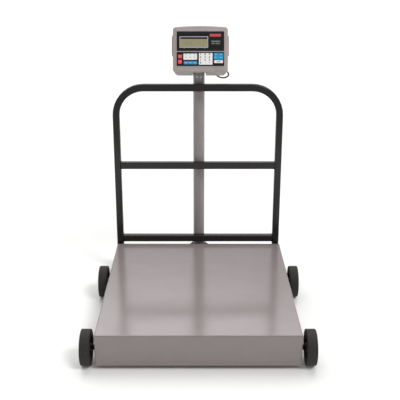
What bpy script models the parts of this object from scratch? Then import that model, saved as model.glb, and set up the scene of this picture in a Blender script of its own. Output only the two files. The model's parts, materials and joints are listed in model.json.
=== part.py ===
"""Portable platform scale: a wheeled weighing platform with a handle frame, a column and a tilting indicator.

Every piece hangs from an empty at the front edge of the platform on the floor, so a position reads as
(across, behind the front face, above the floor). The indicator is drawn upright in its own frame and
leans back with the empty on its tilt axis.
"""

from math import cos, pi, radians, sin

import bmesh
import bpy
from mathutils import Vector

# Driving dimensions, in metres
GAP = 0.0003  # left between pieces that touch
FRONT_TO_ORIGIN = 0.4563  # from the front face back to the middle of the overall depth

PLATFORM_WIDTH = 0.7112
PLATFORM_DEPTH = 0.8128
DECK_TOP = 0.132
SKIRT_BOTTOM = 0.016
SHEET = 0.003
EDGE_RADIUS = 0.004

WHEEL_RADIUS = 0.0635
WHEEL_WIDTH = 0.0349
WHEEL_GAP = 0.0159  # from the skirt to the wheel's inner face
HOLLOW_RADIUS = 0.0395  # inside of the tyre
BUSH_RADIUS = 0.0115
AXLE_RADIUS = 0.008
AXLE_BODY_RADIUS = 0.0095
FRONT_AXLE = 0.0427
REAR_AXLE = 0.572

RAIL_X = 0.300
RAIL_WIDTH = 0.0381
RAIL_HEIGHT = 0.0508
RAIL_TOP = 0.080
RAIL_START = 0.010
FRAME_WALL = 0.003
CELL_LENGTH = 0.140
CELL_FOOT_FRONT = 0.125  # where the front load cells carry the deck
CELL_FOOT_REAR = 0.700
RIB_HEIGHT = 0.020

HANDLE_FRONT = 0.825
HANDLE_TUBE = 0.0286
HANDLE_X = -0.0025  # the frame is bolted on a little left of centre
HANDLE_WALL = 0.002
HANDLE_TOP = 0.832
HANDLE_BEND = 0.130  # outer radius of the top corners
MIDDLE_BAR_TOP = 0.4975
LOWER_BAR_TOP = 0.1642
SILL_SIZE = 0.0508
BOLT_RADIUS = 0.004

COLUMN_RADIUS = 0.02415  # outside of a 1 1/2 inch pipe
COLUMN_WALL = 0.0037
COLUMN_X = 0.002
GUSSET_HALF = 0.0025
GUSSET_TOP = 0.116
COLUMN_TOP = 0.900
FOOT_PLATE = 0.006
GROMMET_RADIUS = 0.0065
CABLE_ENTRY = 0.882
CABLE_RADIUS = 0.0031
BRACKET_BOLT_SPREAD = 0.0076
BRACKET_BOLT_HEIGHT = 0.8605

HEAD_X = 0.008
HEAD_BEHIND = 0.8445  # centre of the indicator's face
HEAD_HEIGHT = 0.9707
HEAD_TILT = radians(20)
HEAD_HALF_WIDTH = 0.1125
HEAD_LOW = -0.090
HEAD_HIGH = 0.094
CHIN = 0.016  # the face falls back below the keypad
HEAD_CROWN = 0.0055  # how far the top edge bows up
BEZEL_DEPTH = 0.014
HEAD_DEPTH = 0.062
HEAD_WALL = 0.0025
PIVOT_DEPTH = 0.0405  # tilt axis, behind the face and above its centre
PIVOT_RISE = -0.030
PIVOT_RADIUS = 0.004
CHANNEL_LEFT = -0.0307  # hollow in the rear shell that the column stands in
CHANNEL_RIGHT = 0.0220
CHANNEL_FRONT = 0.0175
CHANNEL_TOP = -0.008
POCKET_DEPTH = 0.0024
PANEL_FRONT = 0.001
PANEL_BACK = 0.0021
KEY_PROUD = 0.0006

# Places on the indicator's face, from its centre
DISPLAY_PANEL = (0.0966, -0.0048, 0.0755)  # half width, low, high
KEY_PANEL = (0.0966, -0.0660, -0.0085)
LCD_FRAME = (-0.0852, 0.0314, 0.0090, 0.0556)  # left, right, low, high
LCD_GLASS = (-0.0820, 0.0282, 0.0124, 0.0525)
KEYMATS = {  # left, right, low, high, finish
    "keymat_functions": (-0.0694, -0.0135, -0.0399, -0.0146, "white_key"),
    "keymat_blue_row": (-0.0679, -0.0130, -0.0585, -0.0456, "blue_key"),
    "keymat_numbers": (-0.0063, 0.0493, -0.0602, -0.0125, "white_key"),
    "keymat_blue_square": (0.0544, 0.0938, -0.0393, -0.0122, "blue_key"),
}
KEYS = {
    "key_red_upper": (-0.0909, -0.0754, -0.0340, -0.0190, "red_key"),
    "key_red_lower": (-0.0909, -0.0754, -0.0560, -0.0405, "red_key"),
    "key_wide": (0.0560, 0.0919, -0.0535, -0.0418, "white_key"),
}
GLAND_PLACE = (0.083, -0.060, 0.006)  # across, up, radius of the hole
INLET_PLACE = (-0.070, -0.060, 0.0055)
GLAND_END = 0.011  # how far the gland stands behind the shell

SIDES = (("left", -1), ("right", 1))
HANDLE_BACK = HANDLE_FRONT + HANDLE_TUBE
COLUMN_FRONT = HANDLE_BACK + 0.0005
COLUMN_BACK = COLUMN_FRONT + 2 * COLUMN_RADIUS
SILL_FRONT = HANDLE_BACK + GAP
POST_X = (PLATFORM_WIDTH - HANDLE_TUBE) / 2
RAIL_BOTTOM = RAIL_TOP - RAIL_HEIGHT
RIB_TOP = DECK_TOP - SHEET - GAP
WHEEL_X = PLATFORM_WIDTH / 2 + WHEEL_GAP + WHEEL_WIDTH / 2
FACE = Vector((0, PIVOT_DEPTH, PIVOT_RISE))  # from the face centre to the tilt axis


# Materials

def paint(name, colour, roughness, metallic=0.0):
    material = bpy.data.materials.new(name)
    material.use_nodes = True
    shader = material.node_tree.nodes["Principled BSDF"]
    shader.inputs["Base Color"].default_value = (*colour, 1)
    shader.inputs["Roughness"].default_value = roughness
    shader.inputs["Metallic"].default_value = metallic
    material.diffuse_color = (*colour, 1)
    return material


def make_materials():
    return {
        "grey_paint": paint("grey_paint", (0.34, 0.31, 0.31), 0.35),
        "black_paint": paint("black_paint", (0.02, 0.019, 0.019), 0.25),
        "zinc_steel": paint("zinc_steel", (0.5, 0.5, 0.5), 0.35, 1.0),
        "cell_aluminium": paint("cell_aluminium", (0.6, 0.6, 0.61), 0.4, 1.0),
        "tyre_rubber": paint("tyre_rubber", (0.04, 0.037, 0.037), 0.7),
        "hub_plastic": paint("hub_plastic", (0.008, 0.008, 0.008), 0.5),
        "bronze": paint("bronze", (0.45, 0.28, 0.12), 0.4, 1.0),
        "grey_abs": paint("grey_abs", (0.33, 0.30, 0.29), 0.5),
        "black_panel": paint("black_panel", (0.012, 0.01, 0.01), 0.25),
        "silver_frame": paint("silver_frame", (0.4, 0.4, 0.43), 0.35),
        "lcd_glass": paint("lcd_glass", (0.27, 0.25, 0.14), 0.15),
        "red_key": paint("red_key", (0.75, 0.06, 0.08), 0.4),
        "white_key": paint("white_key", (0.85, 0.85, 0.83), 0.4),
        "blue_key": paint("blue_key", (0.02, 0.35, 0.7), 0.4),
        "board_green": paint("board_green", (0.02, 0.16, 0.06), 0.4),
        "black_rubber": paint("black_rubber", (0.01, 0.01, 0.01), 0.5),
    }


# Shapes

def add_object(name, bm, material, parent, location=(0, 0, 0)):
    bmesh.ops.recalc_face_normals(bm, faces=bm.faces)
    mesh = bpy.data.meshes.new(name)
    bm.to_mesh(mesh)
    bm.free()
    mesh.materials.append(material)
    mesh.shade_smooth()
    mesh.set_sharp_from_angle(angle=radians(35))
    return place(name, mesh, parent, location)


def place(name, mesh, parent, location):
    thing = bpy.data.objects.new(name, mesh)
    bpy.context.scene.collection.objects.link(thing)
    thing.parent = parent
    thing.location = location
    return thing


def empty(name, parent=None, location=(0, 0, 0)):
    return place(name, None, parent, location)


def fill_box(bm, low, high):
    spans = list(zip(low, high))
    corners = [(x, y, z) for x in spans[0] for y in spans[1] for z in spans[2]]
    points = [bm.verts.new(corner) for corner in corners]
    for face in ((0, 1, 3, 2), (4, 6, 7, 5), (0, 4, 5, 1), (2, 3, 7, 6), (0, 2, 6, 4), (1, 5, 7, 3)):
        bm.faces.new([points[i] for i in face])


def box(low, high, bevel=0.0, segments=2):
    bm = bmesh.new()
    fill_box(bm, low, high)
    if bevel:
        bmesh.ops.bevel(bm, geom=bm.edges[:], offset=bevel, segments=segments, affect="EDGES", profile=0.5)
    return bm


def loft(rings, closed_ends=True):
    """A skin over rings of equal length; without closed ends the last ring joins the first again."""
    bm = bmesh.new()
    made = [[bm.verts.new(point) for point in ring] for ring in rings]
    count = len(made[0])
    pairs = list(zip(made, made[1:]))
    if not closed_ends:
        pairs.append((made[-1], made[0]))
    for ring, after in pairs:
        for i in range(count):
            j = (i + 1) % count
            bm.faces.new((ring[i], ring[j], after[j], after[i]))
    if closed_ends:
        bm.faces.new(made[0])
        bm.faces.new(made[-1])
    return bm


def axis_point(axis, along, across, up):
    """A point at a distance along an axis, and at two distances square to it."""
    return {"X": (along, across, up), "Y": (across, along, up), "Z": (across, up, along)}[axis]


def turned(profile, axis="X", centre=(0, 0, 0), segments=24):
    """A closed profile of (radius, along) points turned about an axis. A radius of 0 is a tip."""
    bm = bmesh.new()
    rings = []
    for radius, along in profile:
        angles = [2 * pi * i / segments for i in range(segments)] if radius else [0]
        rings.append([
            bm.verts.new(Vector(axis_point(axis, along, radius * cos(a), radius * sin(a))) + Vector(centre))
            for a in angles
        ])
    for ring, after in zip(rings, rings[1:] + rings[:1]):
        if len(ring) == len(after) == 1:
            continue
        for i in range(segments):
            j = (i + 1) % segments
            corners = [ring[i % len(ring)], ring[j % len(ring)], after[j % len(after)], after[i % len(after)]]
            bm.faces.new(list(dict.fromkeys(corners)))
    return bm


def rod(radius, start, end, axis="X", centre=(0, 0, 0), segments=24):
    return turned([(0, start), (radius, start), (radius, end), (0, end)], axis, centre, segments)


def rounded_square(half_wide, half_high, corner, steps=1):
    """Outline of a square tube, counter-clockwise."""
    points = []
    for quarter, (sx, sy) in enumerate(((1, -1), (1, 1), (-1, 1), (-1, -1))):
        for step in range(steps + 1):
            angle = pi / 2 * (quarter - 1 + step / steps)
            points.append((sx * (half_wide - corner) + corner * cos(angle),
                           sy * (half_high - corner) + corner * sin(angle)))
    return points


def straight_tube(axis, centre, start, end, wide, high, wall, corner=0.003):
    """A rectangular tube open at both ends. Wide and high are the two directions square to its axis."""
    outer = rounded_square(wide / 2, high / 2, corner)
    inner = rounded_square(wide / 2 - wall, high / 2 - wall, corner / 2)
    rings = [
        [Vector(axis_point(axis, along, a, b)) + Vector(centre) for a, b in outline]
        for outline, along in ((outer, start), (outer, end), (inner, end), (inner, start))
    ]
    return loft(rings, closed_ends=False)


def cut(target, cutter_shape, name, operation="DIFFERENCE"):
    """Takes a hidden helper shape off a piece, or joins it on."""
    mesh = bpy.data.meshes.new(name)
    bmesh.ops.recalc_face_normals(cutter_shape, faces=cutter_shape.faces)
    cutter_shape.to_mesh(mesh)
    cutter_shape.free()
    helper = place(name, mesh, target.parent, target.location)
    helper.hide_render = True
    helper.display_type = "WIRE"
    modifier = target.modifiers.new(name, "BOOLEAN")
    modifier.operation = operation
    modifier.object = helper


def join(target, shape, name):
    cut(target, shape, name, "UNION")


# Weighing platform

def make_cover(stand, paints):
    half = PLATFORM_WIDTH / 2
    cover = add_object("platform_cover",
                       box((-half, 0, SKIRT_BOTTOM - 0.02), (half, PLATFORM_DEPTH, DECK_TOP), EDGE_RADIUS, 3),
                       paints["grey_paint"], stand)
    inside = box((-half + SHEET, SHEET, -0.1), (half - SHEET, PLATFORM_DEPTH - SHEET, DECK_TOP - SHEET))
    cut(cover, inside, "cover_hollow")
    below = box((-half - 0.01, -0.01, -0.11), (half + 0.01, PLATFORM_DEPTH + 0.01, SKIRT_BOTTOM))
    cut(cover, below, "cover_trim")
    slot_half = 0.020
    slot_top = WHEEL_RADIUS + 0.024
    for number, behind in enumerate((FRONT_AXLE + 0.002, REAR_AXLE)):
        slot = box((-half - 0.01, behind - slot_half, -0.05),
                   (half + 0.01, behind + slot_half, slot_top), 0.008)
        cut(cover, slot, f"axle_slot_{number}")
    for side, sign in SIDES:
        wide = RAIL_WIDTH / 2 + 0.008
        notch = box((sign * RAIL_X - wide, PLATFORM_DEPTH - 0.02, -0.05),
                    (sign * RAIL_X + wide, PLATFORM_DEPTH + 0.02, RAIL_TOP + 0.010), 0.004)
        cut(cover, notch, f"rail_notch_{side}")


def make_deck_ribs(stand, paints):
    """Channels under the deck that carry it on the load cells."""
    reach = PLATFORM_WIDTH / 2 - SHEET - 0.004
    for name, behind in (("deck_rib_front", CELL_FOOT_FRONT), ("deck_rib_rear", CELL_FOOT_REAR)):
        bar = box((-reach, behind - 0.020, RIB_TOP - RIB_HEIGHT), (reach, behind + 0.020, RIB_TOP))
        rib = add_object(name, bar,
                         paints["grey_paint"], stand)
        groove = box((-reach - 0.01, behind - 0.017, RIB_TOP - RIB_HEIGHT + FRAME_WALL),
                     (reach + 0.01, behind + 0.017, RIB_TOP + 0.01))
        cut(rib, groove, f"{name}_groove")


# Base frame

def make_base_frame(stand, paints):
    middle = RAIL_TOP - RAIL_HEIGHT / 2
    for side, sign in SIDES:
        rail = add_object(f"base_rail_{side}",
                          straight_tube("Y", (sign * RAIL_X, 0, middle), RAIL_START, HANDLE_BACK,
                                        RAIL_WIDTH, RAIL_HEIGHT, FRAME_WALL),
                          paints["grey_paint"], stand)
        for number, behind in enumerate((FRONT_AXLE, REAR_AXLE)):
            hole = rod(AXLE_BODY_RADIUS + GAP, -RAIL_WIDTH, RAIL_WIDTH, "X",
                       (sign * RAIL_X, behind, WHEEL_RADIUS))
            cut(rail, hole, f"axle_hole_{side}_{number}")
    reach = RAIL_X - RAIL_WIDTH / 2 - GAP
    for name, behind in (("base_crossmember_front", 0.170), ("base_crossmember_rear", 0.620)):
        tube = straight_tube("X", (0, behind, middle), -reach, reach, RAIL_WIDTH, RAIL_HEIGHT, FRAME_WALL)
        add_object(name, tube, paints["grey_paint"], stand)
    sill = straight_tube("X", (0, SILL_FRONT + SILL_SIZE / 2, middle), -PLATFORM_WIDTH / 2, PLATFORM_WIDTH / 2,
                         SILL_SIZE, SILL_SIZE, FRAME_WALL)
    sill = add_object("rear_sill", sill, paints["grey_paint"], stand)
    for side, sign in SIDES:
        hole = rod(BOLT_RADIUS + GAP, SILL_FRONT - 0.01, SILL_FRONT + SILL_SIZE + 0.01, "Y",
                   (HANDLE_X + sign * POST_X, 0, middle))
        cut(sill, hole, f"sill_bolt_hole_{side}")


def make_load_cells(stand, paints):
    """Bending beams: fixed to the rail at one end, with a round foot under the deck rib at the other."""
    for end, foot, inward in (("front", CELL_FOOT_FRONT, 1), ("rear", CELL_FOOT_REAR, -1)):
        for side, sign in SIDES:
            tip = -0.020 * inward
            tail = tip + CELL_LENGTH * inward
            beam = box((-0.0125, min(tip, tail), 0.0038), (0.0125, max(tip, tail), 0.0218), 0.001, 1)
            cell = add_object(f"load_cell_{end}_{side}", beam, paints["cell_aluminium"], stand,
                              (sign * RAIL_X, foot, RAIL_TOP))
            seat = sorted((tail, tail - 0.040 * inward))
            join(cell, box((-0.0125, seat[0], GAP), (0.0125, seat[1], 0.006)), f"cell_seat_{end}_{side}")
            rise = RIB_TOP - RIB_HEIGHT - GAP - RAIL_TOP
            join(cell, rod(0.008, 0.015, rise, "Z", segments=16), f"cell_foot_{end}_{side}")
            bore = rod(0.006, -0.02, 0.02, "X", (0, 0.050 * inward, 0.0128), 16)
            cut(cell, bore, f"cell_bore_{end}_{side}")


def make_junction_box(stand, paints):
    low = (-0.060, 0.595, RAIL_TOP + GAP)
    high = (0.060, 0.655, RAIL_TOP + 0.030)
    add_object("junction_box", box(low, high, 0.003), paints["cell_aluminium"], stand)


# Running gear

def make_axles(stand, paints):
    inner = PLATFORM_WIDTH / 2 + WHEEL_GAP
    tip = WHEEL_X + 0.0155
    profile = [(0, -tip), (AXLE_RADIUS, -tip), (AXLE_RADIUS, -inner), (AXLE_BODY_RADIUS, -inner),
               (AXLE_BODY_RADIUS, inner), (AXLE_RADIUS, inner), (AXLE_RADIUS, tip), (0, tip)]
    for end, behind in (("front", FRONT_AXLE), ("rear", REAR_AXLE)):
        add_object(f"axle_{end}", turned(profile), paints["zinc_steel"], stand, (0, behind, WHEEL_RADIUS))
        for side, sign in SIDES:
            make_nut(f"axle_nut_{end}_{side}", stand, paints, (sign * WHEEL_X, behind, WHEEL_RADIUS),
                     0.013, AXLE_RADIUS, sign * 0.0075, sign * 0.0145)


def make_nut(name, parent, paints, location, radius, hole, start, end):
    """A hexagon nut on the X axis."""
    nut = add_object(name, rod(radius, start, end, segments=6), paints["zinc_steel"], parent, location)
    cut(nut, rod(hole + GAP, -0.1, 0.1), f"{name}_hole")


def make_wheel_meshes(paints):
    """Tyre, hub and bush about the wheel's own centre; the hub's boss is longer inside."""
    half = WHEEL_WIDTH / 2
    shoulder = 0.003
    tyre = [(HOLLOW_RADIUS, -half), (WHEEL_RADIUS - shoulder, -half), (WHEEL_RADIUS - 0.0008, -half + 0.0008),
            (WHEEL_RADIUS, -half + shoulder), (WHEEL_RADIUS, half - shoulder),
            (WHEEL_RADIUS - 0.0008, half - 0.0008), (WHEEL_RADIUS - shoulder, half), (HOLLOW_RADIUS, half)]
    rim = HOLLOW_RADIUS - GAP
    web = 0.003
    boss = 0.016
    bore = BUSH_RADIUS + GAP
    hub = [(bore, -half), (boss, -half), (boss + 0.002, -web), (rim - 0.004, -web), (rim - 0.003, 0.004 - half),
           (rim, 0.004 - half), (rim, half - 0.004), (rim - 0.003, half - 0.004), (rim - 0.004, web),
           (boss + 0.001, web), (boss, 0.007), (bore, 0.007)]
    inner = AXLE_RADIUS + GAP
    bush = [(inner, -half), (BUSH_RADIUS, -half), (BUSH_RADIUS, 0.007), (inner, 0.007)]
    finishes = {
        "tyre": (tyre, "tyre_rubber", 32),
        "hub": (hub, "hub_plastic", 24),
        "bush": (bush, "bronze", 16),
    }
    meshes = {}
    for side, sign in SIDES:
        for piece, (profile, finish, segments) in finishes.items():
            pattern = add_object("pattern", turned([(r, sign * a) for r, a in profile], segments=segments),
                                 paints[finish], None)
            meshes[piece, side] = pattern.data
            bpy.data.objects.remove(pattern)
    return meshes


def make_wheels(stand, paints):
    meshes = make_wheel_meshes(paints)
    for end, behind in (("front", FRONT_AXLE), ("rear", REAR_AXLE)):
        for side, sign in SIDES:
            for piece in ("tyre", "hub", "bush"):
                place(f"wheel_{piece}_{end}_{side}", meshes[piece, side], stand,
                      (sign * WHEEL_X, behind, WHEEL_RADIUS))


# Handle frame

def hoop_path():
    """Centre line of the bent tube, as (x, z, outward direction angle) from the left foot to the right."""
    radius = HANDLE_BEND - HANDLE_TUBE / 2
    bend_z = HANDLE_TOP - HANDLE_BEND
    bend_x = POST_X - radius
    path = [(-POST_X, RAIL_BOTTOM, pi)]
    steps = 9
    for sign, start in ((-1, pi), (1, pi / 2)):
        for step in range(steps + 1):
            angle = start - pi / 2 * step / steps
            path.append((sign * bend_x + radius * cos(angle), bend_z + radius * sin(angle), angle))
    path.append((POST_X, RAIL_BOTTOM, 0))
    return path


def make_hoop(stand, paints):
    half = HANDLE_TUBE / 2
    rings = []
    outer = rounded_square(half, half, 0.003)
    inner = rounded_square(half - HANDLE_WALL, half - HANDLE_WALL, 0.001)
    for outline, path in ((outer, hoop_path()), (inner, hoop_path()[::-1])):
        for x, z, angle in path:
            rings.append([(HANDLE_X + x + out * cos(angle), HANDLE_FRONT + half + across, z + out * sin(angle))
                          for across, out in outline])
    hoop = add_object("handle_hoop", loft(rings, closed_ends=False), paints["black_paint"], stand)
    for side, sign in SIDES:
        hole = rod(BOLT_RADIUS + GAP, HANDLE_BACK - 0.006, HANDLE_BACK + 0.01, "Y",
                   (HANDLE_X + sign * POST_X, 0, RAIL_TOP - RAIL_HEIGHT / 2))
        cut(hoop, hole, f"post_bolt_hole_{side}")


def make_crossbars(stand, paints):
    reach = POST_X - HANDLE_TUBE / 2 - GAP
    middle = HANDLE_FRONT + HANDLE_TUBE / 2
    for name, top in (("handle_middle_bar", MIDDLE_BAR_TOP), ("handle_lower_bar", LOWER_BAR_TOP)):
        bar = straight_tube("X", (HANDLE_X, middle, top - HANDLE_TUBE / 2), -reach, reach, HANDLE_TUBE, HANDLE_TUBE,
                            HANDLE_WALL)
        add_object(name, bar, paints["black_paint"], stand)


def make_bolt(name, parent, paints, centre, head_at, shank_to, radius=BOLT_RADIUS, axis="Y"):
    """A hexagon bolt along an axis, drawn from its head's bearing face to the tip of its shank."""
    back = 1 if head_at > shank_to else -1
    head = 0.0035 if radius < BOLT_RADIUS else 0.005
    bolt = add_object(name, rod(radius, head_at + back * 0.002, shank_to, axis, centre, 16),
                      paints["zinc_steel"], parent)
    join(bolt, rod(radius * 1.9, head_at, head_at + back * head, axis, centre, 6), f"{name}_head")


def make_handle_bolts(stand, paints):
    for side, sign in SIDES:
        make_bolt(f"handle_bolt_{side}", stand, paints, (HANDLE_X + sign * POST_X, 0, RAIL_TOP - RAIL_HEIGHT / 2),
                  SILL_FRONT + SILL_SIZE + GAP, HANDLE_BACK - 0.008)


# Column

def make_column(stand, paints):
    middle = COLUMN_FRONT + COLUMN_RADIUS
    bottom = RAIL_TOP + FOOT_PLATE + 2 * GAP
    bore = COLUMN_RADIUS - COLUMN_WALL
    pipe = [(bore, bottom), (COLUMN_RADIUS, bottom), (COLUMN_RADIUS, COLUMN_TOP), (bore, COLUMN_TOP)]
    column = add_object("column", turned(pipe, "Z", (COLUMN_X, middle, 0), 48), paints["grey_paint"], stand)
    cut(column, rod(GROMMET_RADIUS + GAP, COLUMN_BACK - 0.01, COLUMN_BACK + 0.01, "Y",
                    (COLUMN_X, 0, CABLE_ENTRY), 16), "cable_hole")
    for side, sign in SIDES:
        hole = rod(0.003 + GAP, COLUMN_FRONT - 0.01, COLUMN_FRONT + 0.01, "Y",
                   (COLUMN_X + sign * BRACKET_BOLT_SPREAD, 0, BRACKET_BOLT_HEIGHT), 16)
        cut(column, hole, f"bracket_bolt_hole_{side}")
    plate = box((COLUMN_X - 0.062, COLUMN_FRONT, RAIL_TOP + GAP),
                (COLUMN_X + 0.062, COLUMN_BACK + 0.002, RAIL_TOP + GAP + FOOT_PLATE), 0.001, 1)
    foot = add_object("column_foot", plate, paints["grey_paint"], stand)
    for side, sign in SIDES:
        inner = COLUMN_X + sign * (COLUMN_RADIUS + GAP)
        outer = COLUMN_X + sign * 0.055
        corners = ((inner, RAIL_TOP + 0.003), (outer, RAIL_TOP + 0.003),
                   (outer, RAIL_TOP + 0.012), (inner, GUSSET_TOP))
        gusset = [[(x, middle + face, z) for x, z in corners] for face in (-GUSSET_HALF, GUSSET_HALF)]
        join(foot, loft(gusset), f"foot_gusset_{side}")


def make_grommet(stand, paints):
    face = COLUMN_BACK + GAP
    hole = CABLE_RADIUS + GAP
    profile = [(hole, face - 0.006), (GROMMET_RADIUS, face - 0.006), (GROMMET_RADIUS, face), (0.009, face),
               (0.0085, face + 0.002), (hole, face + 0.002)]
    grommet = turned(profile, "Y", (COLUMN_X, 0, CABLE_ENTRY), 16)
    add_object("cable_grommet", grommet, paints["black_rubber"], stand)


def make_tilt_bracket(stand, paints, pivot):
    """A yoke on top of the column: cap plate, two ears round the pivot and a tab bolted down the front."""
    thick = 0.003
    left = COLUMN_X - COLUMN_RADIUS
    right = HEAD_X + CHANNEL_RIGHT - 0.0017
    bottom = COLUMN_TOP + GAP
    cap = box((left, COLUMN_FRONT - GAP - thick, bottom), (right, COLUMN_BACK, bottom + thick))
    bracket = add_object("tilt_bracket", cap, paints["grey_paint"], stand)
    ear = 0.012
    for name, inner in (("left", left), ("right", right - thick)):
        arch = [(pivot.y + ear * cos(pi * i / 8), pivot.z + ear * sin(pi * i / 8)) for i in range(9)]
        outline = [(pivot.y + ear, bottom + 0.001)] + arch + [(pivot.y - ear, bottom + 0.001)]
        rings = [[(x, y, z) for y, z in outline] for x in (inner, inner + thick)]
        join(bracket, loft(rings), f"bracket_ear_{name}")
    tab = box((COLUMN_X - 0.0135, COLUMN_FRONT - GAP - thick, 0.839),
              (COLUMN_X + 0.0135, COLUMN_FRONT - GAP, bottom + 0.002))
    join(bracket, tab, "bracket_tab")
    hole = rod(PIVOT_RADIUS + GAP, left - 0.01, right + 0.01, "X", (0, pivot.y, pivot.z), 16)
    cut(bracket, hole, "bracket_pivot_hole")
    for side, sign in SIDES:
        centre = (COLUMN_X + sign * BRACKET_BOLT_SPREAD, 0, BRACKET_BOLT_HEIGHT)
        cut(bracket, rod(0.003 + GAP, COLUMN_FRONT - 0.01, COLUMN_FRONT + 0.01, "Y", centre, 16),
            f"tab_bolt_hole_{side}")
        make_bolt(f"bracket_bolt_{side}", stand, paints, centre, COLUMN_FRONT - 2 * GAP - thick,
                  COLUMN_FRONT + 0.006, 0.003)


# Indicator, drawn upright with its face centre at the origin of FACE and its depth along +Y

def outline_at(depth, half_width, low, high, corner, crown=0.0, steps=4):
    """A rounded outline square to the depth, with a bowed top edge, taken from the tilt axis."""
    points = []
    centres = ((half_width - corner, low + corner), (half_width - corner, high - corner),
               (corner - half_width, high - corner), (corner - half_width, low + corner))
    for quarter, (x, z) in enumerate(centres):
        for step in range(steps + 1):
            angle = pi / 2 * (quarter - 1 + step / steps)
            points.append((x + corner * cos(angle), z + corner * sin(angle)))
        if quarter == 1:
            points += [(half_width * share, high) for share in (0.6, 0.3, 0, -0.3, -0.6)]
    bowed = [(x, z + crown * (1 - (x / half_width) ** 2) * (z > 0)) for x, z in points]
    return [Vector((x, depth, z)) - FACE for x, z in bowed]


def slab(front, back, half_width, low, high, corner, across=0.0):
    rings = [outline_at(depth, half_width, low, high, corner) for depth in (front, back)]
    return loft([[point + Vector((across, 0, 0)) for point in ring] for ring in rings])


def face_box(low, high, bevel=0.0):
    return box(Vector(low) - FACE, Vector(high) - FACE, bevel, 1)


def make_bezel(head, paints):
    width, low, high, crown = HEAD_HALF_WIDTH, HEAD_LOW, HEAD_HIGH, HEAD_CROWN
    rings = [
        outline_at(BEZEL_DEPTH, width, low, high, 0.012, crown),
        outline_at(0.006, width, low, high, 0.012, crown),
        outline_at(0.0032, width - 0.0008, low + 0.0012, high - 0.0008, 0.0115, crown),
        outline_at(0.0012, width - 0.003, low + 0.006, high - 0.003, 0.010, crown),
        outline_at(0, width - 0.007, low + CHIN, high - 0.007, 0.008, crown),
    ]
    bezel = add_object("front_bezel", loft(rings), paints["grey_abs"], head)
    wall = HEAD_WALL + 0.0005
    cavity = slab(POCKET_DEPTH + HEAD_WALL, 0.03, width - wall, low + wall + 0.003, high - wall, 0.009)
    cut(bezel, cavity, "bezel_cavity")
    for name, (half, bottom, top) in (("display_pocket", DISPLAY_PANEL), ("key_pocket", KEY_PANEL)):
        cut(bezel, slab(-0.01, POCKET_DEPTH, half + GAP, bottom - GAP, top + GAP, 0.003), name)
    left, right, low, high = LCD_GLASS
    cut(bezel, face_box((left - GAP, -0.01, low - GAP), (right + GAP, 0.02, high + GAP)), "bezel_window")


def make_rear_shell(head, paints):
    def body(inset, front, back):
        return loft([
            outline_at(front, 0.1105 - inset, inset - 0.0875, 0.0920 - inset, 0.011, HEAD_CROWN),
            outline_at(0.050, 0.1075 - inset, inset - 0.0935, 0.0905 - inset, 0.014, HEAD_CROWN),
            outline_at(back - 0.004, 0.1050 - inset, inset - 0.0945, 0.0885 - inset, 0.014, HEAD_CROWN),
            outline_at(back, 0.1000 - inset, inset - 0.0900, 0.0840 - inset, 0.012, HEAD_CROWN),
        ])
    shell = add_object("rear_shell", body(0, BEZEL_DEPTH + GAP, HEAD_DEPTH), paints["grey_abs"], head)
    for side, sign in SIDES:
        rings = []
        for reach, shrink in ((0.100, 0), (0.1156, 0), (0.1172, 0.003)):
            oval = rounded_square(0.019 - shrink, 0.043 - shrink, 0.018 - shrink, 5)
            rings.append([Vector((sign * reach, 0.037 + y, 0.0242 + z)) - FACE for y, z in oval])
        join(shell, loft(rings), f"side_hub_{side}")
    cut(shell, body(HEAD_WALL, BEZEL_DEPTH - 0.01, HEAD_DEPTH - HEAD_WALL), "shell_cavity")
    wall = HEAD_WALL
    lining = face_box((CHANNEL_LEFT - wall, CHANNEL_FRONT - wall, -0.0905),
                      (CHANNEL_RIGHT + wall, HEAD_DEPTH - 0.001, CHANNEL_TOP + wall))
    join(shell, lining, "channel_lining")
    hollow = face_box((CHANNEL_LEFT, CHANNEL_FRONT, -0.12), (CHANNEL_RIGHT, HEAD_DEPTH + 0.02, CHANNEL_TOP))
    cut(shell, hollow, "channel")
    cut(shell, rod(PIVOT_RADIUS + GAP, -0.05, 0.05, "X", segments=16), "shell_pivot_hole")
    for number, (x, z, radius) in enumerate((GLAND_PLACE, INLET_PLACE)):
        cut(shell, rod(radius + GAP, HEAD_DEPTH - 0.01, HEAD_DEPTH + 0.01, "Y",
                       Vector((x, 0, z)) - FACE, 16),
            f"shell_port_{number}")


def make_rear_fittings(head, paints):
    x, z, hole = GLAND_PLACE
    bore = CABLE_RADIUS + GAP
    back = HEAD_DEPTH + GAP
    gland = [(bore, back - 0.006), (hole, back - 0.006), (hole, back), (0.0095, back), (0.0095, back + 0.005),
             (0.0075, back + 0.006), (0.006, HEAD_DEPTH + GLAND_END), (bore, HEAD_DEPTH + GLAND_END)]
    add_object("cable_gland", turned(gland, "Y", Vector((x, 0, z)) - FACE, 16),
               paints["black_rubber"], head)
    x, z, hole = INLET_PLACE
    inlet = [(0.003, back - 0.008), (hole, back - 0.008), (hole, back), (0.008, back), (0.0075, back + 0.0015),
             (0.003, back + 0.0015)]
    add_object("power_inlet", turned(inlet, "Y", Vector((x, 0, z)) - FACE, 16),
               paints["black_rubber"], head)


def make_pivot(head, paints):
    right = CHANNEL_RIGHT + HEAD_WALL
    left = CHANNEL_LEFT - HEAD_WALL
    make_bolt("pivot_bolt", head, paints, (0, 0, 0), right + GAP, left - 0.009, PIVOT_RADIUS, "X")


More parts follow.
